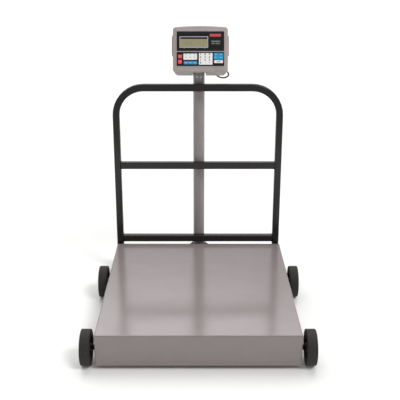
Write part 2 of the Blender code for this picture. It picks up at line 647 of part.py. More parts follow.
def make_front_panels(head, paints):
    half, low, high = DISPLAY_PANEL
    panel = add_object("display_panel", slab(PANEL_FRONT, PANEL_BACK, half, low, high, 0.003),
                       paints["black_panel"], head)
    left, right, low, high = LCD_FRAME
    cut(panel, face_box((left - GAP, -0.01, low - GAP), (right + GAP, 0.01, high + GAP)), "panel_window")
    frame = add_object("lcd_frame", face_box((left, -0.0002, low), (right, PANEL_BACK, high), 0.0006),
                       paints["silver_frame"], head)
    left, right, low, high = LCD_GLASS
    cut(frame, face_box((left, -0.01, low), (right, 0.01, high)), "frame_window")
    add_object("lcd_module", face_box((left + GAP, 0.0008, low + GAP), (right - GAP, 0.0097, high - GAP)),
               paints["lcd_glass"], head)
    half, low, high = KEY_PANEL
    panel = add_object("keypad_panel", slab(PANEL_FRONT, PANEL_BACK, half, low, high, 0.003),
                       paints["black_panel"], head)
    for name, (left, right, low, high, _) in KEYS.items():
        hole = face_box((left - GAP, -0.01, low - GAP), (right + GAP, 0.01, high + GAP))
        cut(panel, hole, f"{name}_hole")


def make_keys(head, paints):
    for name, (left, right, low, high, finish) in KEYMATS.items():
        mat = slab(0, PANEL_FRONT - GAP, (right - left) / 2, low, high, 0.0025, (left + right) / 2)
        add_object(name, mat, paints[finish], head)
    for name, (left, right, low, high, finish) in KEYS.items():
        centre = Vector(((left + right) / 2, -KEY_PROUD, (low + high) / 2))
        cap = box(Vector((left, -KEY_PROUD, low)) - centre, Vector((right, 0.0015, high)) - centre, 0.0004, 1)
        add_object(name, cap, paints[finish], head, centre - FACE)


def make_board(head, paints):
    board = face_box((-0.095, 0.0100, -0.075), (0.095, 0.0116, 0.075))
    add_object("main_board", board, paints["board_green"], head)


# Load cell cable, from the gland round below the indicator to the back of the column

def cable_route(gland_tip, gland_direction):
    """Points from the gland's mouth to the column's grommet, by hand between the two ends."""
    start = gland_tip + gland_direction * GAP
    free = [(0.0930, 0.9035, 0.8850), (0.1020, 0.9110, 0.8815), (0.1140, 0.9120, 0.8760),
            (0.1230, 0.9090, 0.8685), (0.1262, 0.9060, 0.8600), (0.1225, 0.9045, 0.8525),
            (0.1130, 0.9040, 0.8480), (0.1005, 0.9045, 0.8465), (0.0885, 0.9060, 0.8492),
            (0.0775, 0.9090, 0.8552), (0.0665, 0.9125, 0.8630), (0.0545, 0.9160, 0.8710),
            (0.0410, 0.9195, 0.8775), (0.0280, 0.9214, 0.8812), (0.0150, 0.9217, 0.8822),
            (0.0082, 0.9197, 0.8821), (0.0037, 0.9150, 0.8820), (0.0021, 0.9095, 0.8820)]
    end = (COLUMN_X, COLUMN_BACK + 0.002 + 2 * GAP, CABLE_ENTRY)
    return [start] + [Vector(point) for point in free] + [Vector(end)]


def smooth(points, parts=2):
    """Catmull-Rom curve through the points."""
    padded = [2 * points[0] - points[1]] + points + [2 * points[-1] - points[-2]]
    curve = []
    for a, b, c, d in zip(padded, padded[1:], padded[2:], padded[3:]):
        for part in range(parts):
            t = part / parts
            curve.append(0.5 * (2 * b + (c - a) * t + (2 * a - 5 * b + 4 * c - d) * t * t
                                + (3 * b - a - 3 * c + d) * t ** 3))
    return curve + [points[-1]]


def make_cable(stand, paints, head):
    bpy.context.view_layer.update()
    to_stand = stand.matrix_world.inverted() @ head.matrix_world
    x, z, _ = GLAND_PLACE
    tip = to_stand @ (Vector((x, HEAD_DEPTH + GLAND_END, z)) - FACE)
    direction = to_stand.to_3x3() @ Vector((0, 1, 0))
    points = smooth(cable_route(tip, direction))
    curve = bpy.data.curves.new("indicator_cable", "CURVE")
    curve.dimensions = "3D"
    spline = curve.splines.new("POLY")
    spline.points.add(len(points) - 1)
    for slot, point in zip(spline.points, points):
        slot.co = (*point, 1)
    curve.bevel_depth = CABLE_RADIUS
    curve.bevel_resolution = 2
    curve.use_fill_caps = True
    curve.materials.append(paints["black_rubber"])
    place("indicator_cable", curve, stand, (0, 0, 0))


def main():
    for thing in list(bpy.data.objects):
        bpy.data.objects.remove(thing)
    paints = make_materials()
    stand = empty("stand", location=(0, -FRONT_TO_ORIGIN, 0))
    make_cover(stand, paints)
    make_deck_ribs(stand, paints)
    make_base_frame(stand, paints)
    make_load_cells(stand, paints)
    make_junction_box(stand, paints)
    make_axles(stand, paints)
    make_wheels(stand, paints)
    make_hoop(stand, paints)
    make_crossbars(stand, paints)
    make_handle_bolts(stand, paints)
    make_column(stand, paints)
    make_grommet(stand, paints)
    pivot = Vector((HEAD_X,
                    HEAD_BEHIND + PIVOT_DEPTH * cos(HEAD_TILT) + PIVOT_RISE * sin(HEAD_TILT),
                    HEAD_HEIGHT - PIVOT_DEPTH * sin(HEAD_TILT) + PIVOT_RISE * cos(HEAD_TILT)))
    make_tilt_bracket(stand, paints, pivot)
    head = empty("head", stand, pivot)
    head.rotation_euler.x = -HEAD_TILT
    make_bezel(head, paints)
    make_rear_shell(head, paints)
    make_rear_fittings(head, paints)
    make_pivot(head, paints)
    make_front_panels(head, paints)
    make_keys(head, paints)
    make_board(head, paints)
    make_cable(stand, paints, head)
    print("tilt axis", tuple(round(v, 5) for v in head.matrix_world.translation))


main()
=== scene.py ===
# %% [markdown]
# # A platform shipping scale
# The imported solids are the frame: their places, sizes and joints stay as they are. This script gives
# them their finishes, and adds what a drawing of solids leaves out: the round edges of moulded shells,
# printed keys, weld beads, plugs and the lead that hangs behind the indicator.

# %% Load the frame
import json
from math import cos, pi, radians, sin

import bmesh
import bpy
from mathutils import Matrix, Vector


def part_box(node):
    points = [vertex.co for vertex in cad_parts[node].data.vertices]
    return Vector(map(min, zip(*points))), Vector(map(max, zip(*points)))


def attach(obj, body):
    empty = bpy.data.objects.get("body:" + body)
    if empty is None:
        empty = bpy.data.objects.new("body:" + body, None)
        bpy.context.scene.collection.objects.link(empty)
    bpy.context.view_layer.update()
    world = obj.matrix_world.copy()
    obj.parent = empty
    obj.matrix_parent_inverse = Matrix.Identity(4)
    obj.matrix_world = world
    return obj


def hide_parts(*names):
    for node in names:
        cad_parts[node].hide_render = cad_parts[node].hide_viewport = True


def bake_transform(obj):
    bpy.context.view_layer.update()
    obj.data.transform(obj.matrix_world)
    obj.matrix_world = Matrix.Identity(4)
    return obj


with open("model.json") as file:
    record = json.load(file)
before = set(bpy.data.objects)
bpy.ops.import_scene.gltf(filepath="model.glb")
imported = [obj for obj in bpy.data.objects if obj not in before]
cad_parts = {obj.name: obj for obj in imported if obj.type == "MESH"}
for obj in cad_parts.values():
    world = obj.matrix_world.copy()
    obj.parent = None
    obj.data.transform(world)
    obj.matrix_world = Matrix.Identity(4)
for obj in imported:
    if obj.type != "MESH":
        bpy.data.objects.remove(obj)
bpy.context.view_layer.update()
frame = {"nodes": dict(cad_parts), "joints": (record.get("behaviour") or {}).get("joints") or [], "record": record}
scene = bpy.context.scene

# %% [markdown]
# ## Camera
# The view is from straight in front and well above the deck, through a short telephoto lens. The
# camera stands on the centre line and looks down; a small shift sets the scale left of the middle.

# %% Camera
platform_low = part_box("platform_cover")[0]
CAMERA_AHEAD = 2.2665  # from the platform's front face to the lens
CAMERA_HEIGHT = 1.4134
CAMERA_DOWN = radians(19.31)
LENS = 68.14  # mm, on a sensor 36 mm wide
LENS_SHIFT = 0.0039

camera_data = bpy.data.cameras.new("camera")
camera_data.lens = LENS
camera_data.sensor_width = 36
camera_data.shift_x = LENS_SHIFT
camera = bpy.data.objects.new("camera", camera_data)
camera.location = (0, platform_low.y - CAMERA_AHEAD, CAMERA_HEIGHT)
camera.rotation_euler = (pi / 2 - CAMERA_DOWN, 0, 0)
scene.collection.objects.link(camera)
scene.camera = camera
print("camera at", [round(v, 3) for v in camera.location])

# %% [markdown]
# ## The indicator's own frame
# The indicator leans back on its tilt axis. Everything on it is drawn upright, from the middle of its
# face: across, depth behind the face, and up. One matrix then leans it back into place.

# %% The indicator's frame
TILT = radians(20)
PIVOT_DEPTH = 0.0405  # behind the face
PIVOT_RISE = -0.030  # up from the face's middle
tilt_joint = next(joint for joint in frame["joints"] if joint["name"] == "indicator_tilt")
pivot = Vector(tilt_joint["pos_m"])
from_face = (Matrix.Translation(pivot) @ Matrix.Rotation(-TILT, 4, "X")
             @ Matrix.Translation((0, -PIVOT_DEPTH, -PIVOT_RISE)))
print("face centre", [round(v, 4) for v in from_face @ Vector((0, 0, 0))])

# %% [markdown]
# ## Tools for finishes
# Each finish is one Principled shader. `linear` turns an sRGB hex colour into the linear values that
# Blender wants. `add_node` puts one node in a tree with its settings and its incoming links, so that a
# pattern reads from top to bottom.

# %% Tools for finishes
MM = 0.001


def linear(hex_colour):
    values = [int(hex_colour[i:i + 2], 16) / 255 for i in (1, 3, 5)]
    return (*[v / 12.92 if v <= 0.04045 else ((v + 0.055) / 1.055) ** 2.4 for v in values], 1)


def add_node(tree, kind, settings=None, **links):
    """A node with its settings; a link's name is the input, with _ for a space."""
    made = tree.nodes.new("ShaderNode" + kind)
    for key, value in (settings or {}).items():
        if hasattr(made, key):
            setattr(made, key, value)
        else:
            made.inputs[key].default_value = value
    for key, source in links.items():
        tree.links.new(source, made.inputs[key.replace("_", " ")])
    return made


def new_finish(name, colour, roughness, metallic=0.0, ior=None):
    material = bpy.data.materials.new(name)
    material.use_nodes = True
    shader = material.node_tree.nodes["Principled BSDF"]
    shader.inputs["Base Color"].default_value = linear(colour)
    shader.inputs["Roughness"].default_value = roughness
    shader.inputs["Metallic"].default_value = metallic
    if ior:
        shader.inputs["IOR"].default_value = ior
    return material, material.node_tree, shader


def mottle(tree, shader, dark, light, size, detail=3.0):
    """Blends two shades of a colour with a soft noise whose patches are about that size."""
    place = add_node(tree, "TexCoord")
    noise = add_node(tree, "TexNoise", {"Scale": 1 / size, "Detail": detail},
                     Vector=place.outputs["Object"])
    ramp = add_node(tree, "ValToRGB", {}, Fac=noise.outputs["Fac"])
    ramp.color_ramp.elements[0].position = 0.3
    ramp.color_ramp.elements[0].color = linear(dark)
    ramp.color_ramp.elements[1].position = 0.7
    ramp.color_ramp.elements[1].color = linear(light)
    tree.links.new(ramp.outputs["Color"], shader.inputs["Base Color"])
    return place


def vary_roughness(tree, shader, place, low, high, size):
    noise = add_node(tree, "TexNoise", {"Scale": 1 / size, "Detail": 4.0},
                     Vector=place.outputs["Object"])
    spread = add_node(tree, "MapRange", {"To Min": low, "To Max": high}, Value=noise.outputs["Fac"])
    tree.links.new(spread.outputs["Result"], shader.inputs["Roughness"])


def grain(tree, shader, place, size, height, detail=2.0):
    """Fine relief: bumps about that size apart and that high."""
    noise = add_node(tree, "TexNoise", {"Scale": 1 / size, "Detail": detail},
                     Vector=place.outputs["Object"])
    bump = add_node(tree, "Bump", {"Strength": 1.0, "Distance": height}, Height=noise.outputs["Fac"])
    tree.links.new(bump.outputs["Normal"], shader.inputs["Normal"])


# %% [markdown]
# ## Painted steel
# The platform, the base and the column are mild steel with a satin powder coat. Powder flows out in
# the oven and leaves a slight orange peel, 2 to 3 mm from crest to crest and a few microns high, so
# reflections of the posts smear into soft streaks. The handle frame has a glossier black enamel.

# %% Painted steel
ORANGE_PEEL = 2.5 * MM

# The deck's pieces have their own copy of the grey coat, painted darker than the column's: a painted shade that
# holds down the strong light falling on the deck. Its coat also reflects more.
deck_coat_painted_shade, tree, shader = new_finish("grey_powder_coat_deck_shaded", "#847979", 0.18, ior=1.65)
place = mottle(tree, shader, "#827777", "#867B7B", 90 * MM)
vary_roughness(tree, shader, place, 0.16, 0.20, 60 * MM)
grain(tree, shader, place, ORANGE_PEEL, 0.004 * MM)

column_coat, tree, shader = new_finish("grey_powder_coat_column", "#968E8E", 0.30)
place = mottle(tree, shader, "#938B8B", "#999191", 40 * MM)
grain(tree, shader, place, ORANGE_PEEL, 0.004 * MM)

black_enamel, tree, shader = new_finish("gloss_black_enamel", "#161414", 0.22)
place = mottle(tree, shader, "#141212", "#1A1717", 30 * MM)
vary_roughness(tree, shader, place, 0.18, 0.28, 20 * MM)
grain(tree, shader, place, 3 * MM, 0.006 * MM)
print("paints ready")

# %% [markdown]
# ## Bare metal
# Bolts and screws are zinc plated: a bright, slightly blue-grey metal with a cloudy passivated
# surface. The axles and their nuts are black oxide, a thin dark skin on the steel. The load cells are
# milled aluminium. The bushes are sintered bronze, whose pores hold oil and make it look matt.

# %% Bare metal
zinc, tree, shader = new_finish("bright_zinc_plate", "#B4B6BA", 0.35, 1.0)
place = mottle(tree, shader, "#A4A6AA", "#C2C4C8", 6 * MM)
vary_roughness(tree, shader, place, 0.28, 0.45, 4 * MM)

milled_aluminium, tree, shader = new_finish("milled_aluminium", "#C6C8CA", 0.4, 1.0)
place = mottle(tree, shader, "#BCBEC0", "#D0D2D4", 10 * MM)
grain(tree, shader, place, 0.6 * MM, 0.01 * MM)

sintered_bronze, tree, shader = new_finish("sintered_bronze", "#A67C4A", 0.5, 1.0)
place = mottle(tree, shader, "#96703F", "#B48A56", 1.5 * MM)
grain(tree, shader, place, 0.5 * MM, 0.02 * MM)

black_oxide, tree, shader = new_finish("black_oxide_steel", "#1C1B1B", 0.45, 1.0)
mottle(tree, shader, "#171616", "#232121", 5 * MM)
print("metals ready")

# %% [markdown]
# ## Rubber, plastics and the board
# The tyres are moulded rubber, nearly black and matt. The hubs are black nylon. The
# indicator's shells are ABS from a spark-eroded mould, whose texture of about 0.3 mm is drawn at
# 0.8 mm so that it shows at all. Panels and keys are polyester film, smooth and a little glossy.

# %% Rubber, plastics and the board
tyre_rubber, tree, shader = new_finish("moulded_tyre_rubber", "#241F1D", 0.75)
place = mottle(tree, shader, "#1B1816", "#282321", 9 * MM, 6.0)
vary_roughness(tree, shader, place, 0.62, 0.85, 5 * MM)
grain(tree, shader, place, 1.2 * MM, 0.05 * MM, 4.0)

black_nylon, tree, shader = new_finish("moulded_black_nylon", "#0A0909", 0.55)
place = mottle(tree, shader, "#070606", "#0D0C0C", 8 * MM)
grain(tree, shader, place, 1.0 * MM, 0.015 * MM)

grey_abs, tree, shader = new_finish("textured_grey_abs", "#ADA4A0", 0.5)
place = mottle(tree, shader, "#A9A09C", "#B1A8A4", 25 * MM)
grain(tree, shader, place, 0.8 * MM, 0.02 * MM)

black_film, tree, shader = new_finish("black_polyester_film", "#110E0F", 0.16)
place = mottle(tree, shader, "#0E0C0D", "#151213", 12 * MM)
grain(tree, shader, place, 1.0 * MM, 0.003 * MM)

silver_trim, tree, shader = new_finish("silver_painted_trim", "#BDBDC4", 0.35)
mottle(tree, shader, "#B7B7BE", "#C3C3CA", 4 * MM)

cable_sheath, tree, shader = new_finish("black_pvc_sheath", "#0C0B0B", 0.5)
mottle(tree, shader, "#0A0909", "#100F0F", 5 * MM)

circuit_board, tree, shader = new_finish("green_solder_mask", "#1E5A34", 0.35)
mottle(tree, shader, "#184C2B", "#24683D", 3 * MM)


def film(name, dark, light, roughness=0.38):
    """Printed film of one colour, with a very slight unevenness of the ink."""
    material, tree, shader = new_finish(name, light, roughness)
    place = mottle(tree, shader, dark, light, 5 * MM)
    grain(tree, shader, place, 0.8 * MM, 0.004 * MM)
    return material


white_film = film("white_key_film", "#FAFAF8", "#FFFFFD", 0.5)
red_film = film("red_key_film", "#EE4650", "#F8565C", 0.45)
blue_film = film("blue_key_film", "#0096CE", "#00A4DE", 0.55)
dark_ink = film("dark_grey_ink", "#1E1D1F", "#282729", 0.5)
grey_ink = film("mid_grey_ink", "#8C8A88", "#9A9896", 0.5)
pale_ink = film("pale_blue_ink", "#B4CDE0", "#C4DBEC", 0.5)
sage_ink = film("sage_grey_ink", "#8FA394", "#9DB0A2", 0.5)
dim_ink = film("dim_grey_ink", "#78767A", "#848286", 0.5)
line_ink = film("charcoal_ink", "#343235", "#3C3A3D", 0.5)
badge_red = film("red_badge_print", "#CC4A50", "#D9585D", 0.4)
print("plastics and films ready")

# %% [markdown]
# ## The display glass
# A reflective liquid crystal cell is olive where the liquid is off. Its segments never vanish quite:
# seen at an angle they are a little darker than the ground. A polariser on top makes it smooth.

# %% The display glass
lcd_ground, tree, shader = new_finish("olive_lcd_ground", "#A69E7C", 0.18)
mottle(tree, shader, "#A19A78", "#AAA380", 14 * MM)
lcd_ghost, tree, shader = new_finish("olive_lcd_segment", "#958E6B", 0.18)
mottle(tree, shader, "#928B68", "#98916E", 14 * MM)
# A dark navy finish for the painted shadow that the frame's top edge casts along the top of the glass.
lcd_painted_shadow, tree, shader = new_finish("navy_painted_shadow", "#1B1E2E", 0.18)
mottle(tree, shader, "#181B2A", "#202438", 14 * MM)
print("display finishes ready")

# %% [markdown]
# ## Dressing the solids
# A solid from the frame has sharp edges. A weld of doubled corners, a narrow bevel and weighted
# normals give each edge the thin highlight that a folded, sawn or moulded edge has.

# %% Dressing the solids
nodes = frame["nodes"]


def dress(name, material, edge):
    solid = nodes[name]
    solid.data.materials.clear()
    solid.data.materials.append(material)
    solid.data.shade_smooth()
    weld = solid.modifiers.new("weld", "WELD")
    weld.merge_threshold = 0.01 * MM
    bevel = solid.modifiers.new("edge", "BEVEL")
    bevel.width = edge
    bevel.segments = 2
    bevel.limit_method = "ANGLE"
    bevel.angle_limit = radians(40)
    solid.modifiers.new("normals", "WEIGHTED_NORMAL")


finish_of = {
    "grey_paint": column_coat, "black_paint": black_enamel, "zinc_steel": zinc,
    "cell_aluminium": milled_aluminium, "tyre_rubber": tyre_rubber, "hub_plastic": black_nylon,
    "bronze": sintered_bronze, "grey_abs": grey_abs, "black_panel": black_film,
    "silver_frame": silver_trim, "lcd_glass": lcd_ground, "red_key": red_film,
    "white_key": white_film, "blue_key": blue_film, "board_green": circuit_board,
    "black_rubber": cable_sheath,
}
DECK_PIECES = ("platform_cover", "deck_rib_front", "deck_rib_rear")
EDGE = 0.4 * MM
FINE_EDGE = 0.25 * MM  # on keys and the display
for part in frame["record"]["subparts"]:
    name = part["node"]
    # The deck's pieces take the copy of the coat with painted shade in its colour.
    finish = deck_coat_painted_shade if name in DECK_PIECES else finish_of[part["material_slot"]]
    if name.startswith("axle"):
        finish = black_oxide
    dress(name, finish, FINE_EDGE if "key" in name or "lcd" in name else EDGE)
print(len(nodes), "solids dressed")

# %% [markdown]
# ## Tools for shapes
# Moulded shells are skins over a few outlines, and round pieces are turned profiles. `piece` makes the
# object, smooths it, and lets it ride on its body.

# %% Tools for shapes
def piece(name, bm, material, body, smooth_angle=30):
    bmesh.ops.recalc_face_normals(bm, faces=bm.faces)
    mesh = bpy.data.meshes.new(name)
    bm.to_mesh(mesh)
    bm.free()
    mesh.materials.append(material)
    mesh.shade_smooth()
    mesh.set_sharp_from_angle(angle=radians(smooth_angle))
    made = bpy.data.objects.new(name, mesh)
    scene.collection.objects.link(made)
    if body:
        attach(made, body)
    return made


def skin(rings, bm=None):
    """A closed skin over rings of equal length."""
    bm = bm or bmesh.new()
    made = [[bm.verts.new(point) for point in ring] for ring in rings]
    count = len(made[0])
    for ring, after in zip(made, made[1:]):
        for i in range(count):
            j = (i + 1) % count
            bm.faces.new((ring[i], ring[j], after[j], after[i]))
    bm.faces.new(made[0])
    bm.faces.new(made[-1])
    return bm


def turned(profile, place, segments=48, bm=None):
    """A profile of (radius, along X) points turned about X, closed, and put in place by a matrix."""
    bm = bm or bmesh.new()
    rings = []
    for radius, along in profile:
        angles = [2 * pi * i / segments for i in range(segments)] if radius else [0]
        points = [Vector((along, radius * cos(a), radius * sin(a))) for a in angles]
        rings.append([bm.verts.new(place @ point) for point in points])
    for ring, after in zip(rings, rings[1:] + rings[:1]):
        if len(ring) == len(after) == 1:
            continue
        for i in range(segments):
            j = (i + 1) % segments
            corners = [ring[i % len(ring)], ring[j % len(ring)],
                       after[j % len(after)], after[i % len(after)]]
            bm.faces.new(list(dict.fromkeys(corners)))
    return bm


def subtract(target, bm, name):
    """Cuts a helper shape out of a piece at once, and drops the helper."""
    bmesh.ops.recalc_face_normals(bm, faces=bm.faces)
    mesh = bpy.data.meshes.new(name)
    bm.to_mesh(mesh)
    bm.free()
    helper = bpy.data.objects.new(name, mesh)
    scene.collection.objects.link(helper)
    boolean = target.modifiers.new(name, "BOOLEAN")
    boolean.object = helper
    bpy.context.view_layer.update()
    evaluated = target.evaluated_get(bpy.context.evaluated_depsgraph_get())
    cut = bpy.data.meshes.new_from_object(evaluated)
    target.modifiers.remove(boolean)
    target.data = cut
    bpy.data.objects.remove(helper)


print("tools ready")

# %% [markdown]
# ## The lead
# The load cell lead is a 6.2 mm PVC cable. It leaves the gland low on the indicator's back, hangs in a
# loop that shows below the corner, and runs behind the shell into the column. A smooth curve passes
# through points along that way; the tube is swept round it with a frame that never twists.

# %% The lead
CABLE_DIAMETER = 6.2 * MM
GLAND_GAP = 0.3 * MM  # from the gland's mouth to the end of the sheath
GLAND_MOUTH = (0.083, 0.073, -0.060)
gland_mouth = from_face @ Vector(GLAND_MOUTH)
gland_way = (from_face.to_3x3() @ Vector((0, 1, 0))).normalized()
LEAD_WAY = (  # across, behind the platform's front, up
    (0.0930, 0.9035, 0.8850), (0.1020, 0.9110, 0.8815), (0.1140, 0.9120, 0.8760),
    (0.1230, 0.9090, 0.8685), (0.1262, 0.9060, 0.8600), (0.1225, 0.9045, 0.8525),
    (0.1130, 0.9040, 0.8480), (0.1005, 0.9045, 0.8465), (0.0885, 0.9060, 0.8492),
    (0.0775, 0.9090, 0.8552), (0.0665, 0.9125, 0.8630), (0.0545, 0.9160, 0.8710),
    (0.0410, 0.9195, 0.8775), (0.0280, 0.9214, 0.8812), (0.0150, 0.9217, 0.8822),
    (0.0082, 0.9197, 0.8821), (0.0037, 0.9150, 0.8820), (0.0021, 0.9095, 0.8820),
    (0.0020, 0.9053, 0.8820),
)


def catmull_rom(points, parts):
    """A smooth curve through the points, with that many steps from one to the next."""
    padded = [2 * points[0] - points[1]] + points + [2 * points[-1] - points[-2]]
    curve = []
    for a, b, c, d in zip(padded, padded[1:], padded[2:], padded[3:]):
        for t in [part / parts for part in range(parts)]:
            curve.append(0.5 * (2 * b + (c - a) * t + (2 * a - 5 * b + 4 * c - d) * t * t
                                + (3 * b - a - 3 * c + d) * t ** 3))
    return curve + [points[-1]]


def swept(line, radius, segments):
    """Rings of a tube along a line; each ring's frame is carried over from the one before."""
    rings = []
    side = Vector((0, 0, 1))
    for i, point in enumerate(line):
        along = (line[min(i + 1, len(line) - 1)] - line[max(i - 1, 0)]).normalized()
        side = (side - along * side.dot(along)).normalized()
        other = along.cross(side)
        angles = [2 * pi * k / segments for k in range(segments)]
        rings.append([point + radius * (cos(a) * side + sin(a) * other) for a in angles])
    return rings


way = [Vector((x, platform_low.y + behind, z)) for x, behind, z in LEAD_WAY]
lead_line = catmull_rom([gland_mouth + gland_way * GLAND_GAP] + way, 6)
tube = skin(swept(lead_line, CABLE_DIAMETER / 2, 20))
lead = piece("indicator_lead", tube, cable_sheath, None)
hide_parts("indicator_cable")
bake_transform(lead)

# %% [markdown]
# ## Printing on the indicator
# Ink and labels are laid on as sheets 0.06 mm thick. Words on the real one are left out: plain bars
# stand for them, and only the number keys carry characters.

# %% Tools for printing
INK = 0.06 * MM
KEY_FACE = -0.6 * MM  # depths behind the face: the single keys stand proud of it
MAT_FACE = 0.0
PANEL_FACE = 1.0 * MM


def print_and_shadow_bar(bm, x, z, wide, high, face, corner=0.0, steps=4):
    """A rounded rectangle of ink or of painted shadow, centred there, on a surface that far behind the face."""
    corner = min(corner, wide / 2, high / 2)
    outline = []
    for quarter, (sign_x, sign_z) in enumerate(((1, -1), (1, 1), (-1, 1), (-1, -1))):
        for step in range(steps + 1 if corner else 1):
            a = pi / 2 * (quarter - 1 + (step / steps if corner else 0))
            outline.append((x + sign_x * (wide / 2 - corner) + corner * cos(a),
                            z + sign_z * (high / 2 - corner) + corner * sin(a)))
    rings = [[from_face @ Vector((a, depth, b)) for a, b in outline] for depth in (face, face - INK)]
    return skin(rings, bm)


def printed_text(name, text, x, z, size, face, material):
    """A character as a thin solid, centred there."""
    curve = bpy.data.curves.new(name, "FONT")
    curve.body = text
    curve.size = size
    curve.align_x = "CENTER"
    curve.align_y = "CENTER"
    curve.extrude = INK / 2
    curve.offset = size * 0.035
    curve.resolution_u = 3
    shape = bpy.data.objects.new(name, curve)
    scene.collection.objects.link(shape)
    bpy.context.view_layer.update()
    evaluated = shape.evaluated_get(bpy.context.evaluated_depsgraph_get())
    mesh = bpy.data.meshes.new_from_object(evaluated)
    bpy.data.objects.remove(shape)
    bm = bmesh.new()
    bm.from_mesh(mesh)
    bpy.data.meshes.remove(mesh)
    upright = Matrix.Rotation(pi / 2, 4, "X")
    place = from_face @ Matrix.Translation((x, face - INK / 2, z)) @ upright
    bmesh.ops.transform(bm, verts=bm.verts, matrix=place)
    return piece(name, bm, material, "indicator")


# %% Number keys
NUMBER_COLUMNS = (0.0010, 0.0190, 0.0368)
KEY_ROWS = (-0.0180, -0.0296, -0.0412, -0.0526)
CHARACTER_SIZE = 10.5 * MM
PAD = (("7", "8", "9"), ("4", "5", "6"), ("1", "2", "3"), ("0", "."))
for row, characters in enumerate(PAD):
    for column, character in enumerate(characters):
        printed_text(f"number_{row}_{column}", character, NUMBER_COLUMNS[column], KEY_ROWS[row],
                     CHARACTER_SIZE, MAT_FACE, dark_ink)
dots = bmesh.new()
for x in (0.0105, 0.0280, 0.0440):
    for z in (-0.0238, -0.0354, -0.0470):
        print_and_shadow_bar(dots, x, z, 1.4 * MM, 1.4 * MM, MAT_FACE, 0.7 * MM)
piece("number_pad_dots", dots, grey_ink, "indicator")
print("number pad printed")

# %% Other key legends
FUNCTION_COLUMNS = (-0.0592, -0.0417, -0.0243)
BLUE_ROW_COLUMNS = (-0.0585, -0.0403, -0.0222)
BLUE_ROW = -0.0520
BLUE_SQUARE_COLUMNS = (0.0622, 0.0828)
BLUE_SQUARE_ROWS = (-0.0182, -0.0300)
RED_COLUMN = -0.08315
WIDE_KEY = (0.0740, -0.0477)
legends = bmesh.new()
for z in KEY_ROWS[:2]:
    for x in FUNCTION_COLUMNS:
        print_and_shadow_bar(legends, x, z + 0.0012, 8 * MM, 1.4 * MM, MAT_FACE, 0.4 * MM)
        print_and_shadow_bar(legends, x, z - 0.0014, 5.5 * MM, 1.4 * MM, MAT_FACE, 0.4 * MM)
print_and_shadow_bar(legends, NUMBER_COLUMNS[2], KEY_ROWS[3], 6 * MM, 1.6 * MM, MAT_FACE, 0.4 * MM)
piece("function_legends", legends, grey_ink, "indicator")

pale = bmesh.new()
for x in BLUE_ROW_COLUMNS:
    print_and_shadow_bar(pale, x - 0.0028, BLUE_ROW, 4.2 * MM, 3.2 * MM, MAT_FACE, 0.5 * MM)
    print_and_shadow_bar(pale, x + 0.0030, BLUE_ROW, 3.6 * MM, 3.2 * MM, MAT_FACE, 0.5 * MM)
for z in BLUE_SQUARE_ROWS:
    for x in BLUE_SQUARE_COLUMNS:
        print_and_shadow_bar(pale, x - 0.0020, z, 3.0 * MM, 3.0 * MM, MAT_FACE, 0.5 * MM)
        print_and_shadow_bar(pale, x + 0.0028, z, 3.4 * MM, 2.2 * MM, MAT_FACE, 0.5 * MM)
piece("blue_key_legends", pale, pale_ink, "indicator")

for name, low, high in (("upper", -0.0340, -0.0190), ("lower", -0.0560, -0.0405)):
    oval = print_and_shadow_bar(bmesh.new(), RED_COLUMN, (low + high) / 2, 8 * MM, 5 * MM, KEY_FACE, 2.4 * MM)
    piece(f"red_{name}_legend", oval, sage_ink, f"key_red_{name}_cap")
dash = print_and_shadow_bar(bmesh.new(), *WIDE_KEY, 15 * MM, 2.2 * MM, KEY_FACE, 0.6 * MM)
piece("wide_key_legend", dash, dark_ink, "key_wide_cap")
print("legends printed")

# %% [markdown]
# ## Display
# A painted shadow lies along the top of the glass: a navy band where the frame's top edge shades it. The number
# cells stay faintly visible when the scale is off: six cells of seven slanted segments. The frame clips into the
# panel with three tabs. A blank badge and plain bars stand for the names on the real panel.

# %% Display
GLASS_FACE = 0.8 * MM
CELLS = 6
CELL_PITCH = 0.0160
FIRST_CELL = -0.0680
CELL_MIDDLE = 0.0292
# The painted shadow: a navy band along the top of the glass, standing in for the shade under the frame's top edge.
shade = print_and_shadow_bar(bmesh.new(), -0.0269, 0.0484, 109.4 * MM, 7.4 * MM, GLASS_FACE)
piece("display_painted_shadow", shade, lcd_painted_shadow, "indicator")

# Each segment's place across and up the cell, and 1 where it lies level.
SEGMENTS = ((0, 1, 1), (0, 0, 1), (0, -1, 1), (-1, 0.5, 0), (1, 0.5, 0), (-1, -0.5, 0), (1, -0.5, 0))
cells = bmesh.new()
for number in range(CELLS):
    middle = FIRST_CELL + number * CELL_PITCH
    for across, up, level in SEGMENTS:
        wide, high = (6.6 * MM, 1.5 * MM) if level else (1.5 * MM, 8.6 * MM)
        x = middle + across * 4.3 * MM + up * 0.9 * MM
        print_and_shadow_bar(cells, x, CELL_MIDDLE + up * 10.0 * MM, wide, high, GLASS_FACE, 0.5 * MM, 2)
piece("display_cells", cells, lcd_ghost, "indicator")

tabs = bmesh.new()
for x in (-0.0650, -0.0140, 0.0172):
    print_and_shadow_bar(tabs, x, 0.0078, 4.5 * MM, 1.6 * MM, PANEL_FACE, 0.4 * MM)
piece("frame_tabs", tabs, silver_trim, "indicator")

